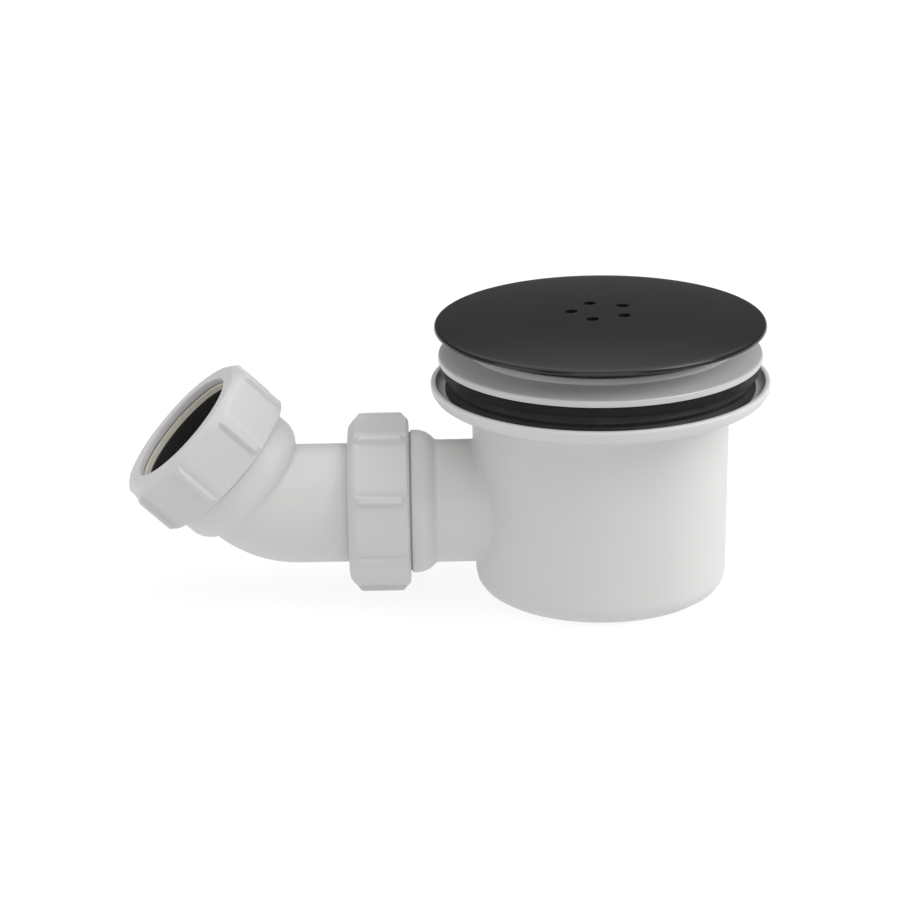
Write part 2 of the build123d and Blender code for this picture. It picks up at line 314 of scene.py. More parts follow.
def turned(name, outline, sides=ROUND_SIDES, capped=False):
    """Draw a ring along an outline of (radius, height, corner round), close it and round it."""
    piece = first_ring(name, *outline[0][:2], sides)
    for (radius, height, _), (next_radius, next_height, _) in pairwise(outline):
        draw_out(height, next_height)
        widen(next_radius / radius, next_height)
    if capped:
        bpy.ops.mesh.select_all(action="SELECT")
        bpy.ops.mesh.fill_holes(sides=0)
    else:
        bridge_ends()
    corners = [Vector(point[:2]) for point in outline]
    for number, (radius, height, corner_round) in enumerate(outline):
        if corner_round:
            before = corners[number] - corners[number - 1]
            after = corners[(number + 1) % len(corners)] - corners[number]
            select_edges(piece, lambda edge: on_ring(edge, radius, height))
            bpy.ops.mesh.bevel(
                offset=corner_round * tan(before.angle(after) / 2), segments=ROUND_STEPS,
                affect="EDGES", clamp_overlap=False,
            )
    face_outwards()
    return piece


def ring_section(inner, outer, bottom, top, corner_round):
    """Outline of a plain ring with rounded corners."""
    return [
        (inner, bottom, corner_round), (outer, bottom, corner_round),
        (outer, top, corner_round), (inner, top, corner_round),
    ]


def combine(piece, other, operation):
    """Cut another shape out of a piece, or weld it on, and remove that other shape."""
    activate(piece)
    apply_modifier(piece, "BOOLEAN", operation=operation, solver="EXACT", object=other)
    bpy.data.objects.remove(other)


def copied(piece, name):
    """Copy a piece with a mesh of its own."""
    twin = bpy.data.objects.new(name, piece.data.copy())
    bpy.context.scene.collection.objects.link(twin)
    return twin


def joint_called(name):
    """Find a joint of the frame."""
    return next(joint for joint in frame["joints"] if joint["name"] == name)


def at_joint(piece, joint_name, turn=0.0):
    """Stand a piece that is modelled on the z axis on the mouth of a compression joint."""
    joint = joint_called(joint_name)
    way_out = Vector(joint["axis"]).normalized()
    across = Vector((0, way_out.z, -way_out.y)).normalized() if way_out.z else Vector((0, 1, 0))
    axes = Matrix((across, way_out.cross(across), way_out)).transposed().to_4x4()
    piece.matrix_world = Matrix.Translation(joint["pos_m"]) @ axes @ Matrix.Rotation(turn, 4, "Z")
    activate(piece)
    bpy.ops.object.transform_apply(location=True, rotation=True, scale=True)


def moulded_copy(node, edge_round, sharp=lambda edge: False):
    """Copy a node, merge its triangles and round its edges, except those that stay sharp."""
    piece = copied(frame["nodes"][node], node + "_piece")
    piece.data.materials.clear()
    edit(piece)
    bpy.ops.mesh.customdata_custom_splitnormals_clear()
    bpy.ops.mesh.remove_doubles(threshold=SAME_PLACE)
    bpy.ops.mesh.dissolve_limited(angle_limit=FLAT_ANGLE)
    select_edges(piece, lambda edge: edge.calc_face_angle(0.0) > SHARP_ANGLE and not sharp(edge))
    bpy.ops.mesh.bevel(
        offset=edge_round, segments=MOULD_STEPS, affect="EDGES", clamp_overlap=True
    )
    bpy.ops.mesh.select_all(action="SELECT")
    bpy.ops.mesh.remove_doubles(threshold=SAME_PLACE)
    smooth(piece)
    return piece


def split(tree, vector):
    """Add a node that takes a vector apart, and return its three parts."""
    node = tree.nodes.new("ShaderNodeSeparateXYZ")
    tree.links.new(vector, node.inputs["Vector"])
    return node.outputs["X"], node.outputs["Y"], node.outputs["Z"]


def carried_over(tree, value, old_range, new_range, interpolation="LINEAR"):
    """Add a node that carries a value from one range over to another, and return its result."""
    node = tree.nodes.new("ShaderNodeMapRange")
    node.interpolation_type = interpolation
    ends = zip(("From Min", "From Max", "To Min", "To Max"), (*old_range, *new_range))
    for name, end in ends:
        node.inputs[name].default_value = end
    tree.links.new(value, node.inputs["Value"])
    return node.outputs["Result"]


class Finish:
    """A procedural finish that is put together node by node."""

    # Range that a noise mostly stays in
    NOISE_RANGE = (0.3, 0.7)

    def __init__(self, name):
        self.material = bpy.data.materials.new(name)
        self.material.use_nodes = True
        self.tree = self.material.node_tree
        self.shader = self.tree.nodes["Principled BSDF"]
        self.place = self.tree.nodes.new("ShaderNodeTexCoord").outputs["Object"]
        self.relief = None

    def noise(self, scale, detail, place=None):
        """Add a noise and return its value."""
        node = self.tree.nodes.new("ShaderNodeTexNoise")
        node.inputs["Scale"].default_value = scale
        node.inputs["Detail"].default_value = detail
        self.tree.links.new(place or self.place, node.inputs["Vector"])
        return node.outputs["Fac"]

    def math(self, operation, first, second=0.0):
        """Add a calculation with one or two values and return its result."""
        node = self.tree.nodes.new("ShaderNodeMath")
        node.operation = operation
        for socket, value in zip(node.inputs, (first, second)):
            if isinstance(value, (int, float)):
                socket.default_value = value
            else:
                self.tree.links.new(value, socket)
        return node.outputs["Value"]

    def rings(self):
        """Return a place that is the same all the way round: the distance from the axis, 0, z."""
        x, y, z = split(self.tree, self.place)
        square = self.math("ADD", self.math("MULTIPLY", x, x), self.math("MULTIPLY", y, y))
        joined = self.tree.nodes.new("ShaderNodeCombineXYZ")
        self.tree.links.new(self.math("SQRT", square), joined.inputs["X"])
        self.tree.links.new(z, joined.inputs["Z"])
        return joined.outputs["Vector"]

    def colour(self, value, dark, light, low=0.35, high=0.65):
        """Let the base colour drift between two shades and return its ramp."""
        node = self.tree.nodes.new("ShaderNodeValToRGB")
        stops = node.color_ramp.elements
        for stop, position, shade in zip(stops, (low, high), (dark, light)):
            stop.position = position
            stop.color = (*shade, 1)
        self.tree.links.new(value, node.inputs["Fac"])
        self.tree.links.new(node.outputs["Color"], self.shader.inputs["Base Color"])
        return node.color_ramp

    def roughness(self, value, low, high):
        """Let the roughness drift between two values."""
        drift = carried_over(self.tree, value, self.NOISE_RANGE, (low, high))
        self.tree.links.new(drift, self.shader.inputs["Roughness"])

    def bump(self, value, height):
        """Add a relief of a given height to the ones before it."""
        node = self.tree.nodes.new("ShaderNodeBump")
        node.inputs["Strength"].default_value = 1.0
        node.inputs["Distance"].default_value = height
        self.tree.links.new(value, node.inputs["Height"])
        if self.relief:
            self.tree.links.new(self.relief, node.inputs["Normal"])
        self.relief = node.outputs["Normal"]
        self.tree.links.new(self.relief, self.shader.inputs["Normal"])


def shaded(colour, share):
    """Make a colour darker by a share."""
    return tuple(part * (1 - share) for part in colour)


def moulded_grain(plastic):
    """Give a plastic the fine spark-eroded grain of its mould."""
    plastic.bump(plastic.noise(scale=2400, detail=2), height=0.004 * MM)


def pitted_skin(rubber):
    """Give a rubber its fine pitted skin."""
    rubber.bump(rubber.noise(scale=1900, detail=2), height=0.012 * MM)


def white_moulding(name, colour):
    """Satin white plastic: faint flow clouds, uneven gloss, slight sinks and a fine grain."""
    plastic = Finish(name)
    flow_clouds = plastic.noise(scale=16, detail=4)
    gloss_patches = plastic.noise(scale=55, detail=3)
    sinks = plastic.noise(scale=70, detail=1)
    plastic.colour(flow_clouds, shaded(colour, 0.03), colour)
    plastic.roughness(gloss_patches, low=0.34, high=0.46)
    plastic.bump(sinks, height=0.02 * MM)
    moulded_grain(plastic)
    return plastic.material


def white_plastic():
    """White plastic of the body, bend, dip tube and cup."""
    return white_moulding("satin white plastic", bpy.context.scene.trap_colours.white_plastic)


def nut_plastic():
    """Cooler white plastic of the nuts, also a little darker as painted shade."""
    return white_moulding("satin white nut plastic", bpy.context.scene.trap_colours.nut_plastic)


def chrome_plate():
    """Satin plate with fine turning marks round the axis; its colour is darker at the lip and at the
    crest's top as painted shade, and lightest on the slope under the cover as painted light.
    """
    colour = bpy.context.scene.trap_colours.chrome_plate
    slope = (FLANGE_R - 10 * MM, FLANGE_R - 1 * MM)
    painted_shade_range, cloud_tone = (0.9, 0.0), 0.1
    lip_stop, painted_light_stop, crest_stop = 0.15, 0.76, 0.92
    painted_lip_shade, painted_crest_shadow = shaded(colour, 0.35), shaded(colour, 0.5)
    plate = Finish("satin chrome plate")
    around = plate.rings()
    marks = plate.noise(scale=5200, detail=2, place=around)
    clouds = plate.math("MULTIPLY", plate.noise(scale=35, detail=3), cloud_tone)
    radius, _, _ = split(plate.tree, around)
    # Colour by distance from the axis: painted shade at the lip, a painted shadow of the cover on the
    # crest's top, and painted light on the slope in the cover's shade; the clouds added to it are
    # random tone
    tone = plate.math("ADD", carried_over(plate.tree, radius, slope, painted_shade_range), clouds)
    ramp = plate.colour(tone, painted_lip_shade, colour, lip_stop, painted_light_stop)
    ramp.elements.new(crest_stop).color = (*painted_crest_shadow, 1)
    plate.roughness(marks, low=0.30, high=0.42)
    plate.bump(marks, height=0.0015 * MM)
    plate.shader.inputs["Metallic"].default_value = 0.15
    return plate.material


def ring_rubber():
    """Dull black rubber with a dusty bloom and a fine pitted skin."""
    colour = bpy.context.scene.trap_colours.black_rubber
    rubber = Finish("moulded black rubber")
    bloom = rubber.noise(scale=160, detail=4)
    dull_patches = rubber.noise(scale=90, detail=3)
    rubber.colour(bloom, shaded(colour, 0.35), colour)
    rubber.roughness(dull_patches, low=0.52, high=0.72)
    pitted_skin(rubber)
    return rubber.material


def lined_rubber(name, colour, shine):
    """Rubber with the fine mould lines that run round the trap's axis."""
    rubber = Finish(name)
    bloom = rubber.noise(scale=120, detail=4)
    dull_patches = rubber.noise(scale=90, detail=3)
    mould_lines = rubber.noise(scale=900, detail=3, place=rubber.rings())
    rubber.colour(bloom, shaded(colour, 0.35), colour)
    rubber.roughness(dull_patches, low=0.46, high=0.66)
    rubber.bump(mould_lines, height=0.03 * MM)
    pitted_skin(rubber)
    rubber.shader.inputs["Specular IOR Level"].default_value = shine
    return rubber.material


def gasket_rubber_painted_light():
    """Rubber of the tray gasket, with a grey bloom; its colour is lighter than the black rubber as
    painted light for the shade of the recess it sits in.
    """
    colour = bpy.context.scene.trap_colours.gasket_rubber_painted_light
    return lined_rubber("moulded gasket rubber with painted light", colour, shine=0.5)


def washer_rubber():
    """Harder black rubber of the washer under the flange, in the rubber's own colour; the gasket beside
    it is painted lighter.
    """
    colour = bpy.context.scene.trap_colours.black_rubber
    return lined_rubber("moulded washer rubber", colour, shine=0.25)


def black_cover():
    """Gloss black with a faint orange peel and the lightest wipe marks."""
    colour = bpy.context.scene.trap_colours.black_cover
    gloss = Finish("gloss black")
    clouds = gloss.noise(scale=18, detail=3)
    wipe_marks = gloss.noise(scale=26, detail=5)
    orange_peel = gloss.noise(scale=700, detail=1)
    gloss.colour(clouds, shaded(colour, 0.1), colour)
    gloss.roughness(wipe_marks, low=0.09, high=0.17)
    gloss.bump(orange_peel, height=0.0005 * MM)
    return gloss.material


def pale_plastic():
    """Natural unpainted plastic of the slip washers."""
    colour = bpy.context.scene.trap_colours.pale_plastic
    plastic = Finish("natural pale plastic")
    flow_clouds = plastic.noise(scale=90, detail=3)
    gloss_patches = plastic.noise(scale=60, detail=3)
    plastic.colour(flow_clouds, shaded(colour, 0.05), colour)
    plastic.roughness(gloss_patches, low=0.40, high=0.52)
    moulded_grain(plastic)
    return plastic.material


MADE_FINISHES = {}


def fit_piece(piece, body, slot, finish, *nodes):
    """Give a finished piece its finish, its body and the nodes that it stands for."""
    if finish not in MADE_FINISHES:
        MADE_FINISHES[finish] = finish()
    piece.data.materials.clear()
    piece.data.materials.append(MADE_FINISHES[finish])
    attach(piece, body)
    if nodes:
        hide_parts(*nodes)


def round_box(node):
    """Outer radius, lowest and highest level of a node that is round about the trap's axis."""
    low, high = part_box(node)
    return min(high[:2]), low[2], high[2]


CUP_R, _, RIM_Z = round_box("trap_body")
RIM_R, _, RIM_TOP = round_box("body_rim")
GASKET_R, PLATE_Z, WASHER_Z = round_box("tray_gasket")
WASHER_R, _, FLANGE_Z = round_box("flange_washer")
FLANGE_R, SPIGOT_END, CREST_Z = round_box("clamping_flange")
COVER_R, LEG_FOOT_Z, CROWN_Z = round_box("cover")
CUP_DRAFT = tan(radians(0.8))
THROAT_R = 39.2 * MM


def cup_radius(height):
    """Outer radius of the drafted cup at a height."""
    return CUP_R - (RIM_Z - height) * CUP_DRAFT


class SHOWERTRAP_OT_body(bpy.types.Operator):
    """Cup, rim and outlet of the trap's body"""

    bl_idname = "shower_trap.body"
    bl_label = "Trap body"

    def shell(self, edge_round):
        """Turn the cup and its rim in one."""
        wall, floor, rim_wall = 2.4 * MM, 2.6 * MM, 1.9 * MM
        bore, lip = CUP_R - wall, RIM_R - rim_wall
        bore_end = PLATE_Z - 14 * MM
        base_round, floor_round = 7 * MM, 5 * MM
        rim_round, recess_round = 4.5 * MM, 2.6 * MM
        foot_outer, foot_top = 29.27 * MM, floor + 1.5 * MM
        foot_inner = foot_outer - 2 * MM
        return turned(
            "body_shell",
            [
                (AXIS_CAP, 0, 0),
                (cup_radius(0), 0, base_round),
                (CUP_R, RIM_Z, 1.2 * edge_round),
                (RIM_R, RIM_Z, rim_round),
                (RIM_R, RIM_TOP, 1.5 * edge_round),
                (lip, RIM_TOP, edge_round),
                (lip, PLATE_Z, recess_round),
                (bore, PLATE_Z, edge_round),
                (bore, bore_end, 0),
                (cup_radius(0) - wall, floor, floor_round),
                (foot_outer, floor, 0),
                (foot_outer, foot_top, 0),
                (foot_inner, foot_top, 0),
                (foot_inner, floor, 0),
                (AXIS_CAP, floor, 0),
            ],
            capped=True,
        )

    def outlet_cutter(self):
        """Add the rod that opens the cup's side towards its outlet."""
        outlet_bore, outlet_z = 18.2 * MM, joint_called("bend_swivel")["pos_m"][2]
        deselect()
        bpy.ops.mesh.primitive_cylinder_add(
            vertices=96, radius=outlet_bore, depth=16 * MM,
            location=(-CUP_R, 0, outlet_z), rotation=(0, pi / 2, 0),
        )
        return bpy.context.object

    def in_cup(self, edge):
        """Tell whether an edge lies in the cup's wall or inside it."""
        clearance = 0.3 * MM
        return all(
            hypot(*point.co.xy) < cup_radius(point.co.z) + clearance for point in edge.verts
        )

    def execute(self, context):
        edge_round = context.scene.trap_sizes.mould_round
        shell = self.shell(edge_round)
        combine(shell, self.outlet_cutter(), "DIFFERENCE")
        smooth(shell)
        fit_piece(shell, "trap", "white_plastic", white_plastic, "trap_body", "body_rim")
        outlet = moulded_copy("body_outlet", edge_round, self.in_cup)
        fit_piece(outlet, "trap", "white_plastic", white_plastic, "body_outlet")
        return {"FINISHED"}


class SHOWERTRAP_OT_inside(bpy.types.Operator):
    """Dip tube, its seal and the inner cup"""

    bl_idname = "shower_trap.inside"
    bl_label = "Dip tube and cup"

    def execute(self, context):
        sizes = context.scene.trap_sizes
        for node in ("dip_tube", "trap_cup"):
            piece = moulded_copy(node, sizes.mould_round)
            fit_piece(piece, "trap", "white_plastic", white_plastic, node)
        seal = moulded_copy("dip_tube_seal", sizes.rubber_round)
        fit_piece(seal, "trap", "black_rubber", ring_rubber, "dip_tube_seal")
        return {"FINISHED"}


class SHOWERTRAP_OT_bend(bpy.types.Operator):
    """Bend with its leg, collar and socket"""

    bl_idname = "shower_trap.bend"
    bl_label = "Outlet bend"

    def execute(self, context):
        bend = moulded_copy("outlet_bend", context.scene.trap_sizes.mould_round)
        fit_piece(bend, "bend", "white_plastic", white_plastic, "outlet_bend")
        return {"FINISHED"}


class SHOWERTRAP_OT_threads(bpy.types.Operator):
    """Rounded threads on the two sockets"""

    bl_idname = "shower_trap.threads"
    bl_label = "Socket threads"

    def execute(self, context):
        sizes = context.scene.trap_sizes
        root, start, turns = 23.8 * MM, -13.8 * MM, 4
        ridge_sides, turn_steps = 12, 96
        deselect()
        bpy.ops.mesh.primitive_circle_add(
            vertices=ridge_sides, radius=sizes.thread_ridge,
            location=(root, 0, start), rotation=(pi / 2, 0, 0),
        )
        thread = context.object
        thread.name = "body_thread"
        bpy.ops.object.transform_apply(location=True, rotation=True, scale=True)
        context.scene.cursor.location = (0, 0, 0)
        bpy.ops.object.origin_set(type="ORIGIN_CURSOR")
        apply_modifier(
            thread, "SCREW", axis="Z", screw_offset=sizes.thread_pitch, iterations=turns,
            steps=turn_steps, render_steps=turn_steps,
        )
        edit(thread)
        bpy.ops.mesh.remove_doubles(threshold=SAME_PLACE)
        bpy.ops.mesh.fill_holes(sides=0)
        face_outwards()
        smooth(thread)
        twin = copied(thread, "bend_thread")
        at_joint(thread, "swivel_nut_turn")
        at_joint(twin, "outlet_nut_turn")
        fit_piece(thread, "trap", "white_plastic", white_plastic)
        fit_piece(twin, "bend", "white_plastic", white_plastic)
        return {"FINISHED"}


class SHOWERTRAP_OT_joint_rings(bpy.types.Operator):
    """Slip washers and tapered rubber rings of the two compression joints"""

    bl_idname = "shower_trap.joint_rings"
    bl_label = "Joint rings"

    def execute(self, context):
        sizes = context.scene.trap_sizes
        bore, outer = 20.8 * MM, 24.5 * MM
        ring_top, washer_top = 1.6 * MM, 3.7 * MM
        tip, mouth, reach = bore + 0.48 * MM, bore + 1.95 * MM, -5 * MM
        washer_round = 0.5 * sizes.mould_round
        washer = turned(
            "swivel_washer_piece",
            ring_section(bore, outer, ring_top, washer_top, washer_round),
            JOINT_SIDES,
        )
        smooth(washer)
        rubber = turned(
            "swivel_ring_piece",
            [
                (bore, reach, 0),
                (tip, reach, 0),
                (mouth, 0, sizes.rubber_round),
                (mouth, ring_top, sizes.rubber_round),
                (bore, ring_top, sizes.rubber_round),
            ],
            JOINT_SIDES,
        )
        smooth(rubber)
        far_washer = copied(washer, "outlet_washer_piece")
        far_rubber = copied(rubber, "outlet_ring_piece")
        for piece in (washer, rubber):
            at_joint(piece, "swivel_nut_turn")
        for piece in (far_washer, far_rubber):
            at_joint(piece, "outlet_nut_turn")
        fit_piece(washer, "swivel_washer", "pale_plastic", pale_plastic, "swivel_slip_washer")
        fit_piece(far_washer, "outlet_washer", "pale_plastic", pale_plastic, "outlet_slip_washer")
        fit_piece(rubber, "trap", "black_rubber", ring_rubber, "swivel_compression_ring")
        fit_piece(far_rubber, "bend", "black_rubber", ring_rubber, "outlet_compression_ring")
        return {"FINISHED"}


class SHOWERTRAP_OT_nuts(bpy.types.Operator):
    """Eight-sided ribbed nuts of the two compression joints"""

    bl_idname = "shower_trap.nuts"
    bl_label = "Compression nuts"

    SIDES = 128
    RIBS = 8
    RIB_HALF = 1.25 * MM
    # Sides to each side of a rib's middle that are cut finer, and the cuts in each of them
    RIB_SPAN, RIB_CUTS = 2, 3
    BOTTOM, SHOULDER, TOP = -14.45 * MM, 3.85 * MM, 6.55 * MM
    BORE, HOLE = 24.9 * MM, 21.3 * MM
    OPEN_R, END_R = 26.9 * MM, 25.6 * MM
    # Levels between which the ribs run level, and how steeply they fall beyond them
    OPEN_TOP, END_START = BOTTOM + 2.6 * MM, TOP - 4.0 * MM
    OPEN_SLOPE, END_SLOPE = 3.2 / 2.6, 4.8 / 4.0
    # Lengths over which the side rounds over to the open end and to the far end
    OPEN_EDGE, END_EDGE = 0.9 * MM, 3.35 * MM
    # Millimetres from the open end and from the far end to the rings of the side
    OPEN_RISES = (0.1, 0.35, 0.7, 1.1, 1.5, 2.0, 2.6, 3.2, 10.5)
    END_DROPS = (4.5, 3.9, 3.4, 2.9, 2.5, 2.1, 1.7, 1.25, 0.8, 0.4, 0.12)

    def turns(self):
        """Angles of the points from the middle of a rib to the middle of a flat."""
        step = 2 * pi / self.SIDES
        cuts = self.RIB_CUTS + 1
        fine = [number * step / cuts for number in range(self.RIB_SPAN * cuts)]
        last = self.SIDES // self.RIBS // 2
        return fine + [number * step for number in range(self.RIB_SPAN, last + 1)]

    def even(self, level, radius):
        """A level of the nut that is round."""
        return level, [radius for _ in self.turns()]

    def side(self, level, sizes):
        """A level of the nut with its flats, corners and ribs."""
        from_open, from_end = level - self.BOTTOM, self.TOP - level
        share = max(0.0, 1 - from_open / self.OPEN_EDGE, 1 - from_end / self.END_EDGE) ** 2
        edge_r = self.END_R if level > 0 else self.OPEN_R
        open_fall = max(0, self.OPEN_TOP - level) * self.OPEN_SLOPE
        end_fall = max(0, level - self.END_START) * self.END_SLOPE
        rib_top = sizes.nut_rib - open_fall - end_fall
        radii = []
        for turn in self.turns():
            flat = min(sizes.nut_corner, sizes.nut_flat / cos(pi / self.RIBS - turn))
            rib = rib_top if turn * sizes.nut_rib < self.RIB_HALF else 0
            radii.append(max(flat + (edge_r - flat) * share, rib))
        return level, radii

    def rings(self, sizes):
        """Levels from the open end over the side and through the bore, with a radius per point."""
        bottom, shoulder, top = self.BOTTOM, self.SHOULDER, self.TOP
        bore, hole = self.BORE, self.HOLE
        end_middle, bore_middle = 23.6 * MM, bottom + 7 * MM
        end_flat, mouth_round, hole_round = 0.6 * MM, 0.5 * MM, 0.5 * MM
        corner_rise, corner_reach, corner_drop = 0.3 * MM, 0.2 * MM, 0.1 * MM
        levels = [bottom + rise * MM for rise in self.OPEN_RISES]
        levels += [top - drop * MM for drop in self.END_DROPS]
        return [
            self.even(bottom, self.OPEN_R),
            *(self.side(level, sizes) for level in levels),
            self.even(top, self.END_R - end_flat),
            self.even(top, end_middle),
            self.even(top, hole + end_flat),
            self.even(top - corner_drop, hole + corner_reach),
            self.even(top - hole_round, hole),
            self.even(shoulder + corner_rise, hole),
            self.even(shoulder, hole + corner_reach),
            self.even(shoulder, bore - corner_reach),
            self.even(shoulder - corner_rise, bore),
            self.even(bore_middle, bore),
            self.even(bottom + mouth_round, bore),
            self.even(bottom, bore + mouth_round),
        ]

    def draw_ring(self, nut, radii, next_radii, height):
        """Scale the ring just extruded, each step round a rib by its own amount."""
        mesh = bmesh.from_edit_mesh(nut.data)
        ring = {point.index for point in mesh.verts if point.select}
        growths = {}
        for step, (radius, next_radius) in enumerate(zip(radii, next_radii)):
            growths.setdefault(round(next_radius / radius, 6), set()).add(step)
        for growth, steps in growths.items():
            self.select_steps(nut, ring, steps)
            widen(growth, height)
        self.select_steps(nut, ring, set(range(len(radii))))

    def select_steps(self, nut, ring, steps):
        """Select the points of a ring that are at given steps from the nearest rib."""
        bpy.ops.mesh.select_all(action="DESELECT")
        mesh = bmesh.from_edit_mesh(nut.data)
        turns = self.turns()
        for point in mesh.verts:
            if point.index in ring:
                turn = turn_from_nearest(point.co, self.RIBS)
                step = min(range(len(turns)), key=lambda number: abs(turns[number] - turn))
                point.select_set(step in steps)
        mesh.select_flush_mode()
        bmesh.update_edit_mesh(nut.data)

    def near_rib(self, edge):
        """Tell whether an edge of the first ring is where a rib stands."""
        return turn_from_nearest(middle(edge), self.RIBS) < self.RIB_SPAN * 2 * pi / self.SIDES

    def execute(self, context):
        sizes = context.scene.trap_sizes
        rings = self.rings(sizes)
        nut = first_ring("swivel_nut_piece", self.OPEN_R, self.BOTTOM, self.SIDES)
        select_edges(nut, self.near_rib)
        bpy.ops.mesh.subdivide(number_cuts=self.RIB_CUTS)
        bpy.ops.mesh.select_mode(type="VERT")
        bpy.ops.mesh.select_all(action="SELECT")
        for (height, radii), (next_height, next_radii) in pairwise(rings):
            draw_out(height, next_height)
            self.draw_ring(nut, radii, next_radii, next_height)
        bridge_ends()
        face_outwards()
        apply_modifier(nut, "SUBSURF", levels=1, render_levels=1)
        bpy.ops.object.shade_smooth()
        far_nut = copied(nut, "outlet_nut_piece")
        at_joint(nut, "swivel_nut_turn", sizes.swivel_turn)
        at_joint(far_nut, "outlet_nut_turn", sizes.outlet_turn)
        fit_piece(nut, "swivel_nut", "white_plastic", nut_plastic, "swivel_nut")
        fit_piece(far_nut, "outlet_nut", "white_plastic", nut_plastic, "outlet_nut")
        return {"FINISHED"}


class SHOWERTRAP_OT_gasket(bpy.types.Operator):
    """Tray gasket in the rim's recess and the washer on it"""

    bl_idname = "shower_trap.gasket"
    bl_label = "Gasket and washer"

    def execute(self, context):
        edge = context.scene.trap_sizes.rubber_round
        bore, foot, groove = 43.7 * MM, 1.4 * MM, 1.5 * MM
        waist, ridge = GASKET_R - groove, GASKET_R - groove / 2
        foot_top = PLATE_Z + foot
        rise = (WASHER_Z - PLATE_Z - foot) / 2
        gasket = turned(
            "tray_gasket_piece",
            [
                (bore, PLATE_Z, edge),
                (GASKET_R, PLATE_Z, edge),
                (GASKET_R, foot_top, edge),
                (waist, foot_top + rise / 2, edge),
                (ridge, foot_top + rise, edge),
                (waist, WASHER_Z - rise / 2, edge),
                (ridge, WASHER_Z, edge),
                (bore, WASHER_Z, edge),
            ],
        )
        smooth(gasket)
        fit_piece(gasket, "trap", "black_rubber", gasket_rubber_painted_light, "tray_gasket")
        washer = turned(
            "flange_washer_piece", ring_section(bore, WASHER_R, WASHER_Z, FLANGE_Z, edge)
        )
        smooth(washer)
        fit_piece(washer, "trap", "black_rubber", washer_rubber, "flange_washer")
        return {"FINISHED"}


class SHOWERTRAP_OT_flange(bpy.types.Operator):
    """Plated clamping flange with its throat, ledge and spigot"""

    bl_idname = "shower_trap.flange"
    bl_label = "Clamping flange"

    def execute(self, context):
        edge = context.scene.trap_sizes.plate_round
        fine_edge, foot_edge, crest_edge = 0.4 * edge, 0.5 * edge, 0.8 * edge
        spigot, ledge, core_wall = 41.4 * MM, 36.6 * MM, 2 * MM
        core, hollow_top = spigot + core_wall, CREST_Z - core_wall
        lip_inner, lip_top = FLANGE_R - 4 * MM, FLANGE_Z + 2.15 * MM
        crest_in, crest_out, crest_lean = 44.4 * MM, 46.6 * MM, 1 * MM
        crest_foot, crest_top = CREST_Z - 1 * MM, CREST_Z + 0.9 * MM
        throat_top = CREST_Z - 5.2 * MM
        ledge_top, ledge_bottom = FLANGE_Z - 6 * MM, FLANGE_Z - 9 * MM
        flange = turned(
            "clamping_flange_piece",
            [
                (spigot, FLANGE_Z, 0),
                (core, FLANGE_Z, fine_edge),
                (core, hollow_top, fine_edge),
                (crest_out, hollow_top, fine_edge),
                (lip_inner, FLANGE_Z, fine_edge),
                (FLANGE_R, FLANGE_Z, foot_edge),
                (FLANGE_R, lip_top, edge),
                (crest_out, crest_foot, fine_edge),
                (crest_out - crest_lean, crest_top, crest_edge),
                (crest_in, crest_top, crest_edge),
                (THROAT_R, throat_top, edge),
                (THROAT_R, ledge_top, fine_edge),
                (ledge, ledge_top, fine_edge),
                (ledge, ledge_bottom, fine_edge),
                (THROAT_R, ledge_bottom, fine_edge),
                (THROAT_R, SPIGOT_END, fine_edge),
                (spigot, SPIGOT_END, fine_edge),
            ],
        )
        smooth(flange)
        fit_piece(flange, "trap", "chrome_plate", chrome_plate, "clamping_flange")
        return {"FINISHED"}


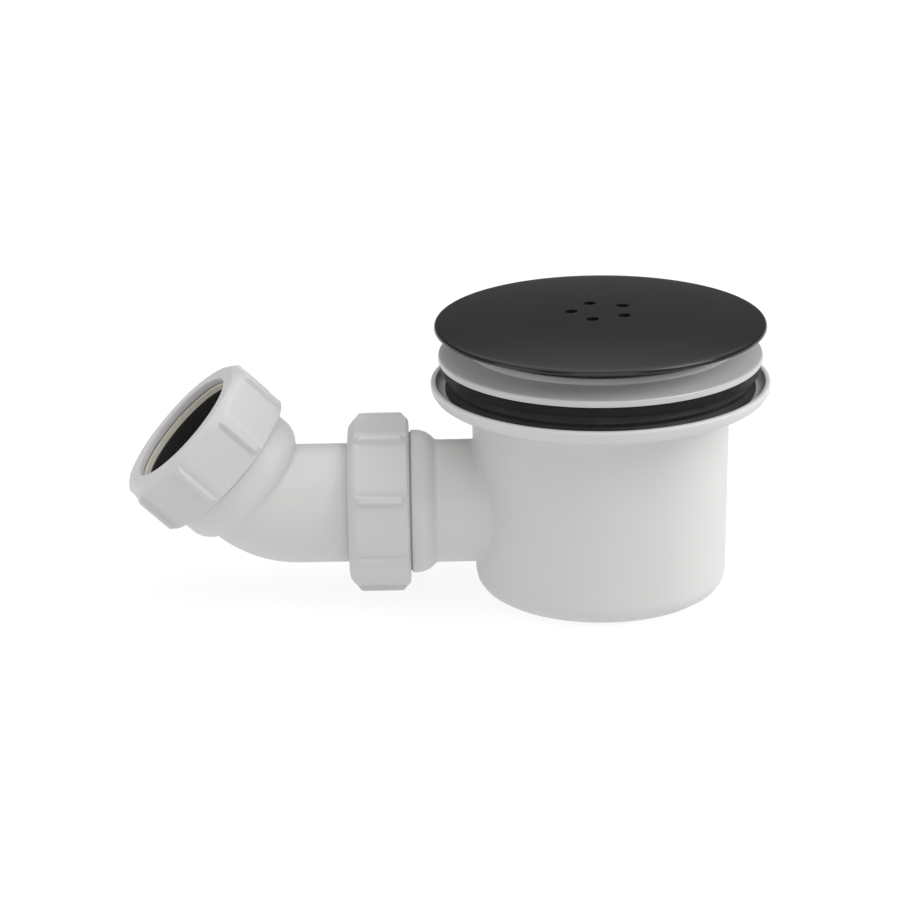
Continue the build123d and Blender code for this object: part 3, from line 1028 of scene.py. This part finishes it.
class SHOWERTRAP_OT_cover(bpy.types.Operator):
    """Gloss black domed cover with its drain holes and legs"""

    bl_idname = "shower_trap.cover"
    bl_label = "Cover"

    RISE, WALL, EDGE_HEIGHT = 3.7 * MM, 1.9 * MM, 1.8 * MM
    RIM_ROUND, FOOT_ROUND, HOLLOW_ROUND = 1.4 * MM, 0.3 * MM, 0.6 * MM
    # Millimetres from the middle to the rings of the dome, with a clear band for the holes
    RING_RADII = (3, 6.8, 12.8, 17, 22, 27, 32, 37, 41, 45, 48, 50.5, 52.5)
    HOLES = 5
    HOLE_RING, HOLE_R = 9.8 * MM, 2.2 * MM
    FIRST_HOLE = pi
    LEGS = 3
    LEG_WIDTH, LEG_THICKNESS, LEG_ROUND = 9 * MM, 2.4 * MM, 0.4 * MM
    LEG_CLEARANCE = 0.3 * MM
    LEG_R = THROAT_R - LEG_CLEARANCE

    def top(self, radius):
        """Height of the dome at a distance from its middle."""
        dome = (COVER_R**2 + self.RISE**2) / (2 * self.RISE)
        return CROWN_Z - dome + sqrt(dome**2 - radius**2)

    def shell(self):
        """Turn the domed cover with its hollow underside."""
        edge_top = CROWN_Z - self.RISE
        foot, hollow = edge_top - self.EDGE_HEIGHT, COVER_R - self.WALL
        radii = [AXIS_CAP, *(radius * MM for radius in self.RING_RADII)]
        return turned(
            "cover_piece",
            [
                *((radius, self.top(radius), 0) for radius in radii),
                (COVER_R, edge_top, self.RIM_ROUND),
                (COVER_R, foot, self.FOOT_ROUND),
                (hollow, foot, self.FOOT_ROUND),
                (hollow, self.top(hollow) - self.WALL, self.HOLLOW_ROUND),
                *((radius, self.top(radius) - self.WALL, 0) for radius in reversed(radii)),
            ],
            capped=True,
        )

    def near_hole(self, edge):
        """Tell whether an edge runs outwards through the place of a drain hole."""
        cleared = 0.35 * 2 * pi / self.HOLES
        inner, outer = sorted(hypot(*point.co.xy) for point in edge.verts)
        outwards = inner + self.HOLE_R < self.HOLE_RING < outer - self.HOLE_R
        return outwards and turn_from_nearest(middle(edge), self.HOLES, self.FIRST_HOLE) < cleared

    def on_hole(self, edge):
        """Tell whether an edge goes round the mouth of a drain hole."""
        same_level, same_radius = 0.3 * MM, 0.02 * MM
        turns = [self.FIRST_HOLE + number * 2 * pi / self.HOLES for number in range(self.HOLES)]
        centres = [Vector((cos(turn), sin(turn))) * self.HOLE_RING for turn in turns]
        level = abs(edge.verts[0].co.z - edge.verts[1].co.z) < same_level
        return level and any(
            all(
                abs((point.co.xy - centre).length - self.HOLE_R) < same_radius
                for point in edge.verts
            )
            for centre in centres
        )

    def drill(self):
        """Make the cutter for the drain holes: one rod, copied round the middle."""
        deselect()
        bpy.ops.mesh.primitive_cylinder_add(
            vertices=48, radius=self.HOLE_R, depth=20 * MM, location=(-self.HOLE_RING, 0, CROWN_Z)
        )
        cutter = bpy.context.object
        bpy.ops.object.transform_apply(location=True, rotation=False, scale=False)
        edit(cutter)
        copy_round(self.HOLES)
        return cutter

    def legs(self):
        """Make the locating legs: one is modelled and the others are copied round the axis."""
        root = self.top(self.LEG_R) - self.WALL / 2
        place = (0, self.LEG_R - self.LEG_THICKNESS / 2, (LEG_FOOT_Z + root) / 2)
        deselect()
        bpy.ops.mesh.primitive_cube_add(size=1, location=place)
        leg = bpy.context.object
        leg.scale = (self.LEG_WIDTH, self.LEG_THICKNESS, root - LEG_FOOT_Z)
        bpy.ops.object.transform_apply(location=True, rotation=False, scale=True)
        edit(leg)
        bpy.ops.mesh.bevel(offset=self.LEG_ROUND, segments=2, affect="EDGES")
        copy_round(self.LEGS)
        return leg

    def execute(self, context):
        cover = self.shell()
        edit(cover)
        select_edges(cover, self.near_hole)
        bpy.ops.mesh.dissolve_edges(use_verts=False)
        combine(cover, self.drill(), "DIFFERENCE")
        edit(cover)
        select_edges(cover, self.on_hole)
        bpy.ops.mesh.bevel(
            offset=context.scene.trap_sizes.hole_round, segments=ROUND_STEPS,
            affect="EDGES", clamp_overlap=True,
        )
        combine(cover, self.legs(), "UNION")
        smooth(cover)
        fit_piece(cover, "trap", "black_cover", black_cover, "cover")
        return {"FINISHED"}


class SHOWERTRAP_OT_stage(bpy.types.Operator):
    """Pale floor, soft lights and the camera"""

    bl_idname = "shower_trap.stage"
    bl_label = "Stage"

    LIGHT_AIM = (-0.04, 0, 0.05)
    # Heights on a sphere of 1 between which the even light rises
    SKY_RISE = (0.35, 0.95)

    def floor(self, stage):
        """Add the pale floor, which shines more softly on the part than into the camera."""
        shade = stage.floor_shade
        deselect()
        bpy.ops.mesh.primitive_plane_add(size=stage.floor_size, location=(0, 0, 0))
        floor = bpy.context.object
        floor.name = "floor"
        pale = bpy.data.materials.new("pale floor")
        pale.use_nodes = True
        tree = pale.node_tree
        shader = tree.nodes["Principled BSDF"]
        shader.inputs["Base Color"].default_value = (shade, shade, shade, 1)
        shader.inputs["Roughness"].default_value = 0.7
        shader.inputs["Specular IOR Level"].default_value = 0.0
        shader.inputs["Emission Color"].default_value = (1, 1, 1, 1)
        to_camera = tree.nodes.new("ShaderNodeLightPath").outputs["Is Camera Ray"]
        glow = carried_over(tree, to_camera, (0, 1), (stage.floor_bounce, stage.floor_glow))
        tree.links.new(glow, shader.inputs["Emission Strength"])
        floor.data.materials.append(pale)

    def soft_light(self, name, place, width, height, power, mirrored=True):
        """Add a softbox that faces the part; one that isn't mirrored leaves no streak on gloss."""
        deselect()
        bpy.ops.object.light_add(type="AREA", location=place)
        lamp = bpy.context.object
        lamp.name = name
        lamp.data.shape = "RECTANGLE"
        lamp.data.size = width
        lamp.data.size_y = height
        lamp.data.energy = power
        lamp.visible_glossy = mirrored
        backwards = Vector(place) - Vector(self.LIGHT_AIM)
        lamp.rotation_euler = backwards.to_track_quat("Z", "Y").to_euler()

    def lights(self):
        """Add the five softboxes."""
        self.soft_light("right_light", (1.15, -0.5, 1.15), width=1.0, height=1.2, power=10)
        self.soft_light("left_light", (-1.35, -0.75, 0.35), width=0.9, height=0.6, power=1.5)
        self.soft_light("front_light", (0.0, -1.9, 0.5), width=1.6, height=0.5, power=5.2)
        for name, side, power in (("left_back_light", -1, 3), ("right_back_light", 1, 6.5)):
            place = (side * 1.15, 0.4, 0.35)
            self.soft_light(name, place, width=0.4, height=0.6, power=power, mirrored=False)

    def sky(self, scene):
        """Add the even light, which is stronger overhead."""
        world = bpy.data.worlds.new("studio")
        world.use_nodes = True
        tree = world.node_tree
        way = tree.nodes.new("ShaderNodeTexCoord").outputs["Generated"]
        _, _, rise = split(tree, way)
        strengths = (scene.trap_stage.low_light, scene.trap_stage.high_light)
        strength = carried_over(tree, rise, self.SKY_RISE, strengths, "SMOOTHSTEP")
        background = tree.nodes["Background"]
        tree.links.new(strength, background.inputs["Strength"])
        background.inputs["Color"].default_value = (1, 1, 1, 1)
        scene.world = world

    def camera(self, scene):
        """Add the camera where the photograph was taken from."""
        stage = scene.trap_stage
        deselect()
        bpy.ops.object.camera_add(location=stage.camera_place, rotation=stage.camera_turn)
        camera = bpy.context.object
        camera.name = "photo_camera"
        camera.data.lens = stage.lens
        camera.data.sensor_width = 36
        camera.data.clip_start = 0.01
        camera.data.clip_end = 50
        scene.camera = camera

    def execute(self, context):
        self.floor(context.scene.trap_stage)
        self.lights()
        self.sky(context.scene)
        self.camera(context.scene)
        context.scene.view_settings.view_transform = "Standard"
        return {"FINISHED"}


GROUPS = {"trap_sizes": TrapSizes, "trap_colours": TrapColours, "trap_stage": TrapStage}

OPERATORS = (
    SHOWERTRAP_OT_body,
    SHOWERTRAP_OT_inside,
    SHOWERTRAP_OT_bend,
    SHOWERTRAP_OT_threads,
    SHOWERTRAP_OT_joint_rings,
    SHOWERTRAP_OT_nuts,
    SHOWERTRAP_OT_gasket,
    SHOWERTRAP_OT_flange,
    SHOWERTRAP_OT_cover,
    SHOWERTRAP_OT_stage,
)


class SHOWERTRAP_PT_panel(bpy.types.Panel):
    """Steps and values of the shower trap"""

    bl_label = "Shower trap"
    bl_idname = "SHOWERTRAP_PT_panel"
    bl_space_type = "VIEW_3D"
    bl_region_type = "UI"
    bl_category = "Shower trap"

    def draw(self, context):
        for operator in OPERATORS:
            self.layout.operator(operator.bl_idname)
        for name, group in GROUPS.items():
            for value in group.__annotations__:
                self.layout.prop(getattr(context.scene, name), value)


def register():
    """Register the values, steps and panel."""
    for name, group in GROUPS.items():
        bpy.utils.register_class(group)
        setattr(bpy.types.Scene, name, bpy.props.PointerProperty(type=group))
    for operator in OPERATORS:
        bpy.utils.register_class(operator)
    bpy.utils.register_class(SHOWERTRAP_PT_panel)


def unregister():
    """Take the panel, steps and values out again."""
    bpy.utils.unregister_class(SHOWERTRAP_PT_panel)
    for operator in reversed(OPERATORS):
        bpy.utils.unregister_class(operator)
    for name, group in GROUPS.items():
        delattr(bpy.types.Scene, name)
        bpy.utils.unregister_class(group)


def main():
    """Register the values, steps and panel, and run every step in order."""
    register()
    for operator in OPERATORS:
        section, step = operator.bl_idname.split(".")
        getattr(getattr(bpy.ops, section), step)()


if __name__ == "__main__":
    main()
